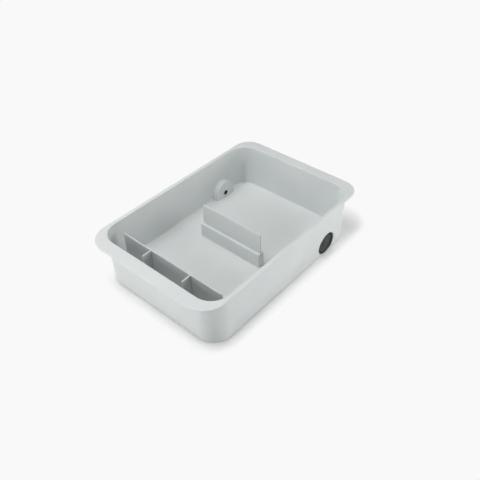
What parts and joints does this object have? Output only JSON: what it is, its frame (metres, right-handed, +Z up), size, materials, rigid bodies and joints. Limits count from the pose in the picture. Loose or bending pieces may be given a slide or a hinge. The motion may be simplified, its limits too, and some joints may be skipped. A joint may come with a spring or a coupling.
{
  "type": "rolling storage box",
  "caption": "Shallow open storage tub with a wide rim to lift by, wheels set into the back of its side walls, a comb-shaped front divider and a lift-out panel across the middle.",
  "frame": {"origin": "on the table, under the middle of the box's bounding box", "axes": "+X across the width towards the right-hand wheel, +Y along the length towards the wheel end, +Z up"},
  "size_m": [0.305, 0.465, 0.11],
  "materials": {
    "tub_plastic": "light cool grey moulded polypropylene, fine satin texture",
    "divider_plastic": "light cool grey moulded polypropylene, fine satin texture",
    "wheel_plastic": "charcoal moulded plastic, satin",
    "tyre_rubber": "black soft tread, matte",
    "foot_rubber": "grey soft rubber, matte"
  },
  "bodies": {
    "tub": {"tub": "tub_plastic", "divider_base": "divider_plastic", "left_axle_pin": "wheel_plastic", "right_axle_pin": "wheel_plastic", "left_axle_cap": "wheel_plastic", "right_axle_cap": "wheel_plastic", "left_foot": "foot_rubber", "right_foot": "foot_rubber"},
    "left_wheel": {"left_wheel_hub": "wheel_plastic", "left_tyre": "tyre_rubber"},
    "right_wheel": {"right_wheel_hub": "wheel_plastic", "right_tyre": "tyre_rubber"},
    "divider_panel": {"divider_panel": "divider_plastic"},
    "front_divider": {"front_divider": "divider_plastic"}
  },
  "joints": [
    {"name": "left_wheel_spin", "type": "hinge", "parent": "tub", "child": "left_wheel", "pos_m": [-0.14, 0.1288, 0.0245], "axis": [1, 0, 0], "continuous": true},
    {"name": "right_wheel_spin", "type": "hinge", "parent": "tub", "child": "right_wheel", "pos_m": [0.14, 0.1288, 0.0245], "axis": [1, 0, 0], "continuous": true},
    {"name": "panel_lift", "type": "slide", "parent": "tub", "child": "divider_panel", "axis": [0, 0, 1], "range_m": [0, 0.09]},
    {"name": "front_divider_lift", "type": "slide", "parent": "tub", "child": "front_divider", "axis": [0, 0, 1], "range_m": [0, 0.105]}
  ]
}
